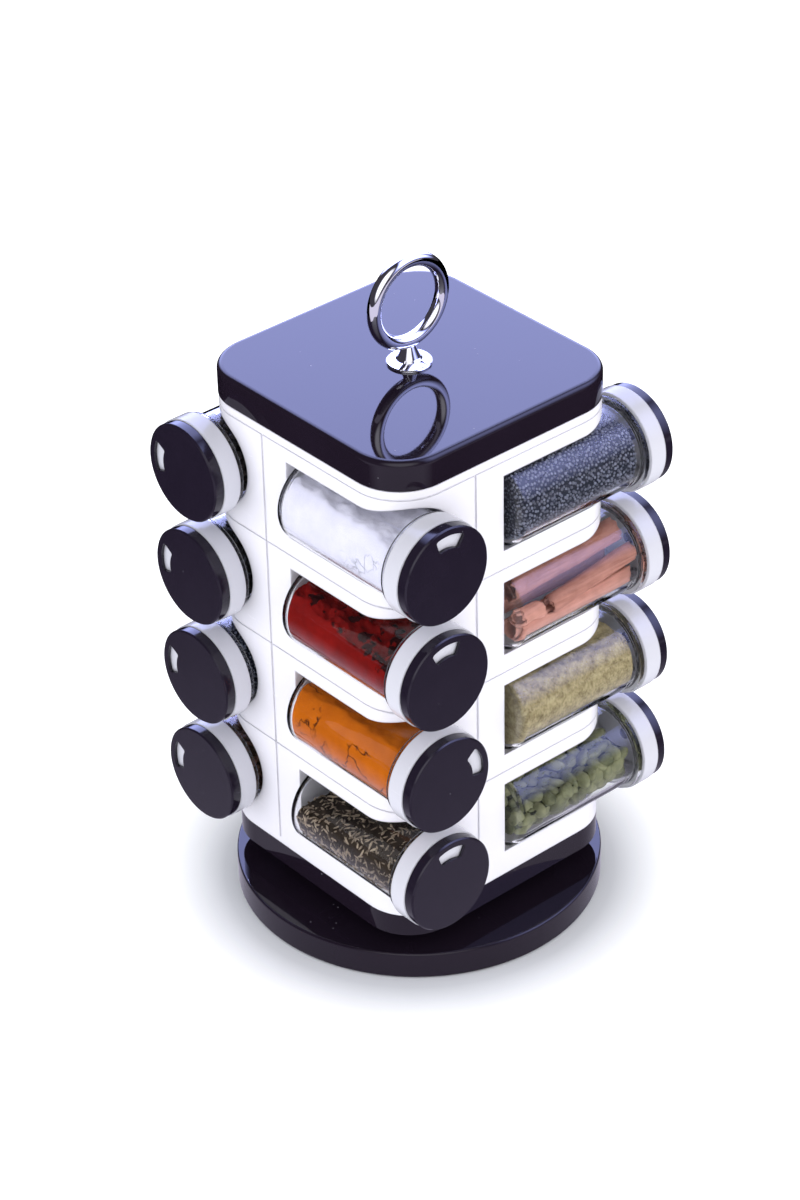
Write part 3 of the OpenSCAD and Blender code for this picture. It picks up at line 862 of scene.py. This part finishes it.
# Painted shade: each bed is a much darker copy of its spice, standing in for the shade in the gaps between
# the seeds.
cumin_bed = powder("cumin_bed", (0.014, 0.010, 0.007), (0.045, 0.032, 0.022), (0, 0, 0), crack_share=0.0)
dark_shade_bed = powder("dark_shade_bed", (0.006, 0.005, 0.005), (0.02, 0.017, 0.014), (0, 0, 0), crack_share=0.0)
mustard_bed = powder("mustard_bed", (0.012, 0.014, 0.022), (0.03, 0.034, 0.05), (0, 0, 0), crack_share=0.0)
brown_shade_bed = powder("brown_shade_bed", (0.02, 0.012, 0.007), (0.06, 0.04, 0.025), (0, 0, 0), crack_share=0.0)
green_shade_bed = powder("green_shade_bed", (0.012, 0.016, 0.008), (0.04, 0.05, 0.025), (0, 0, 0), crack_share=0.0)

# %% Cumin and mustard
cumin_kernel = make_kernel("cumin_kernel", 5.6, 1.35, 1.2, pointed=0.35, bend=0.5, ridges=3, ridge_depth=0.12)
cumin = seed_finish("cumin_seed", (0.06, 0.042, 0.028), (0.50, 0.40, 0.29), mottle_size=0.0012,
                    mottle_share=0.35)
fill_with_seeds("cumin", "front", 1, cumin_kernel, cumin, cumin_bed, gap=1.65, sink=1.4, tilt=0.4, seed=11,
                fill=9, slope=0.16, bump=2.0, bump_size=9, margin=1.0)
mustard_kernel = make_kernel("mustard_kernel", 1.65, 1.65, 1.65, around=6, along=4)
mustard = seed_finish("mustard_seed", (0.045, 0.05, 0.07), (0.26, 0.28, 0.37), roughness=0.5, specular=0.3,
                      mottle_size=0.004, mottle_share=0.3)
fill_with_seeds("mustard", "right", 4, mustard_kernel, mustard, mustard_bed, gap=1.45, sink=0.45,
                tilt=1.5, seed=12,
                fill=17, slope=-0.02, bump=1.0, bump_size=12, margin=1.0)

# %% [markdown]
# Cardamom pods are bigger: three-sided, pointed, pale green and papery. They leave much of the
# jar empty.

# %% Cardamom
cardamom_kernel = make_kernel("cardamom_kernel", 12.0, 7.6, 7.2, pointed=0.1, bend=0.5, ridges=3,
                              ridge_depth=0.10, around=15, along=9)
cardamom = seed_finish("cardamom_pod", (0.055, 0.065, 0.028), (0.27, 0.28, 0.155), roughness=0.6,
                       specular=0.2,
                       mottle_size=0.004, mottle_share=0.45)
fill_with_seeds("cardamom", "right", 1, cardamom_kernel, cardamom, green_shade_bed, gap=6.0, sink=2.5, tilt=0.3,
                seed=13,
                sizes=(0.8, 1.05), fill=2, slope=0.13, bump=3.0, bump_size=14, margin=4.5)

# %% [markdown]
# ## Cinnamon
# A cinnamon stick is a sheet of bark that curled up as it dried. Its section is a spiral ribbon,
# so each stick is built by following a spiral twice, once along its outside and once back along
# its inside, and repeating that section along a slightly crooked line. The ends are broken
# unevenly.


# %% Cinnamon sticks
def make_quill(work, start, end, radius, turns, bark, seed, steps=26, around=44):
    """One curled stick between two points of a jar's frame, in millimetres."""
    rings = []
    axis = (end - start).normalized()
    for step in range(steps + 1):
        share = step / steps
        wander = Vector((noise.noise(Vector((seed, 0, 2.5 * share))),
                         noise.noise(Vector((seed, 5, 2.5 * share))), 0))
        centre = start.lerp(end, share) + wander * 0.5
        ring = []
        for side, count in ((0, around), (1, around)):
            for k in range(count):
                along = k / (count - 1) if side == 0 else 1 - k / (count - 1)
                angle = 2 * math.pi * turns * along + seed
                reach = radius * (1 - 0.30 * along) - side * bark
                reach += 0.35 * noise.noise(Vector((seed + 3 * along, angle, 3.0 * share)))
                ragged = 0.0
                if step in (0, steps):
                    ragged = 2.4 * noise.noise(Vector((seed * 3.1, 2.0 * angle, step))) * (1 if step else -1)
                point = centre + Vector((reach * math.cos(angle), reach * math.sin(angle), 0)) + axis * ragged
                ring.append(work.verts.new(point * mm))
        rings.append(ring)
    count = len(rings[0])
    for first, second in zip(rings, rings[1:]):
        for k in range(count):
            j = (k + 1) % count
            work.faces.new([first[k], first[j], second[j], second[k]])
    for ring in (rings[0], rings[-1]):
        for k in range(count // 2 - 1):
            work.faces.new([ring[k], ring[k + 1], ring[count - 2 - k], ring[count - 1 - k]])


# Each stick is a start, an end and a radius, in millimetres of the jar's frame.
STICKS = [((-11.5, -7.0, 4.5), (-13.0, -4.4, 77.0), 7.0), ((2.2, -15.0, 24.0), (-4.6, -14.2, 80.0), 4.9),
          ((9.5, -9.6, 4.6), (9.0, -10.2, 78.0), 6.9), ((-10.0, 9.0, 5.0), (-9.4, 9.6, 74.0), 7.2),
          ((6.0, 8.6, 4.6), (6.6, 8.0, 79.0), 8.0), ((0.4, -14.6, 4.4), (1.5, -14.8, 18.0), 4.6)]


def build_cinnamon():
    """All the sticks of one jar, each with its own shade."""
    work = bmesh.new()
    shades = []
    for index, (start, end, radius) in enumerate(STICKS):
        before = len(work.verts)
        make_quill(work, Vector(start), Vector(end), radius, 1.35, 0.9, 1.7 * index + 0.4)
        shades += [((index * 0.37) % 1)] * (len(work.verts) - before)
    bmesh.ops.recalc_face_normals(work, faces=work.faces)
    mesh = bpy.data.meshes.new("cinnamon")
    work.to_mesh(mesh)
    work.free()
    mesh.shade_smooth()
    mesh.attributes.new("kernel_shade", "FLOAT", "POINT").data.foreach_set("value", shades)
    return mesh


def build_bark():
    """Cinnamon bark: long fibres, each stick in its own shade."""
    material, tree, shader = new_finish("cinnamon_bark", {"Roughness": 0.75, "Specular IOR Level": 0.2})
    where = wire(tree, "ShaderNodeTexCoord").outputs["Object"]
    long_way = wire(tree, "ShaderNodeMapping", {"Vector": where, "Scale": (1, 0.06, 1)}).outputs[0]
    fibres = wire(tree, "ShaderNodeTexNoise", {"Vector": long_way, "Scale": 900.0, "Detail": 3.0}).outputs[0]
    blotches = wire(tree, "ShaderNodeTexNoise", {"Vector": where, "Scale": 160.0, "Detail": 3.0}).outputs[0]
    own = wire(tree, "ShaderNodeAttribute", attribute_name="kernel_shade").outputs["Fac"]
    tone = maths(tree, "ADD", maths(tree, "MULTIPLY", own, 0.35), maths(tree, "MULTIPLY", fibres, 0.35))
    tone = maths(tree, "ADD", tone, maths(tree, "MULTIPLY", blotches, 0.3))
    tree.links.new(blend_colours(tree, spread(tree, tone, 0.2, 0.8), (0.22, 0.085, 0.06), (0.72, 0.36, 0.29)),
                   shader["Base Color"])
    relief = wire(tree, "ShaderNodeBump", {"Height": fibres, "Distance": 0.0003}).outputs[0]
    tree.links.new(relief, shader["Normal"])
    return material


cinnamon_mesh = build_cinnamon()
keep_inside(cinnamon_mesh, (INNER_R - 0.1) * mm)
cinnamon_mesh.materials.append(build_bark())
put("cinnamon_right_3", cinnamon_mesh, at_bay("right", 3), "jar_right_3")
print("cinnamon", len(cinnamon_mesh.polygons), "faces")

# %% [markdown]
# ## The two faces away from the camera
# The left and back faces hold the darker and the less usual spices. They are made by the same
# tree and the same powder group, with other kernels and colours.

# %% Round and dark spices
pepper_kernel = make_kernel("pepper_kernel", 4.6, 4.5, 4.5, ridges=4, ridge_depth=0.05, around=9, along=6)
pepper = seed_finish("peppercorn", (0.006, 0.005, 0.006), (0.07, 0.055, 0.045), roughness=0.6,
                     mottle_size=0.0012,
                     mottle_share=0.6)
fill_with_seeds("pepper", "left", 4, pepper_kernel, pepper, dark_shade_bed, gap=3.9, sink=1.8, tilt=1.5, seed=21,
                fill=16, slope=0, bump=1.5, bump_size=10, margin=2.4)
nigella_kernel = make_kernel("nigella_kernel", 3.0, 1.7, 1.6, pointed=0.2, ridges=3, ridge_depth=0.12)
nigella = seed_finish("nigella_seed", (0.006, 0.007, 0.010), (0.05, 0.055, 0.075), roughness=0.5)
fill_with_seeds("nigella", "left", 3, nigella_kernel, nigella, dark_shade_bed, gap=1.9, sink=1.0, tilt=0.6, seed=22,
                fill=17, slope=0, bump=1.0, bump_size=10, margin=1.1)
fill_with_seeds("mustard", "left", 2, mustard_kernel, mustard, mustard_bed, gap=1.5, sink=0.45, tilt=1.5,
                seed=23,
                fill=15, slope=-0.03, bump=1.0, bump_size=12, margin=1.0)


def make_clove():
    """A dried clove: a tapered stem, a round flare where the sepals spread, and the ball of the bud."""
    outline = [(0, 0), (0.7, 0.3), (1.05, 3), (1.35, 7), (2.1, 8.6), (2.3, 9.2), (1.3, 9.5), (1.5, 10.4),
               (0.9, 11.3), (0, 11.5)]
    mesh = turned("clove_kernel", [(r * mm, z * mm) for r, z in outline], 8)
    mesh.transform(Matrix.Rotation(math.radians(90), 4, "Y") @ Matrix.Translation((0, 0, -5.7 * mm)))
    return bpy.data.objects.new("clove_kernel", mesh)


clove = seed_finish("clove_bud", (0.035, 0.016, 0.010), (0.16, 0.075, 0.045), roughness=0.65,
                    mottle_share=0.5)
fill_with_seeds("clove", "left", 1, make_clove(), clove, brown_shade_bed, gap=3.0, sink=2.2, tilt=0.4, seed=24,
                fill=14, slope=0, bump=2.0, bump_size=10, margin=2.6)

# %% Spices on the back
coriander_kernel = make_kernel("coriander_kernel", 4.0, 3.7, 3.7, ridges=5, ridge_depth=0.04, around=10,
                               along=6)
coriander_seed = seed_finish("coriander_seed", (0.26, 0.16, 0.07), (0.55, 0.40, 0.21), roughness=0.6)
fill_with_seeds("coriander_seed", "back", 4, coriander_kernel, coriander_seed, brown_shade_bed, gap=3.3,
                sink=1.5, tilt=1.5,
                seed=31, fill=15, slope=0, bump=1.5, bump_size=10, margin=2.1)
fennel_kernel = make_kernel("fennel_kernel", 6.6, 2.1, 1.7, pointed=0.25, bend=0.6, ridges=4,
                            ridge_depth=0.12, around=8)
fennel = seed_finish("fennel_seed", (0.16, 0.17, 0.06), (0.46, 0.44, 0.20), roughness=0.6)
fill_with_seeds("fennel", "back", 3, fennel_kernel, fennel, green_shade_bed, gap=2.3, sink=1.8, tilt=0.4, seed=32,
                fill=12, slope=0.05, bump=1.8, bump_size=10, margin=1.4)
ginger = powder("ginger_powder", (0.50, 0.36, 0.18), (0.72, 0.58, 0.36), (0.20, 0.12, 0.05), clump_size=0.006,
                grain_size=0.0006, crack_spacing=0.02, crack_width=0.02, crack_share=0.45, place=(0.5, 0, 0))
fill_with_powder("ginger", "back", 2, ginger, fill=15, slope=0.03, bump=1.6, bump_size=9, seed=5)
flake_kernel = make_kernel("flake_kernel", 4.6, 3.2, 0.5, bend=0.3, around=7, along=4)
flakes = seed_finish("chilli_flake", (0.16, 0.010, 0.004), (0.50, 0.060, 0.012), roughness=0.4)
fill_with_seeds("chilli_flakes", "back", 1, flake_kernel, flakes, brown_shade_bed, gap=2.3, sink=1.6, tilt=0.7,
                seed=33,
                fill=12, slope=-0.04, bump=2.0, bump_size=10, margin=1.2)
print("all jars filled")
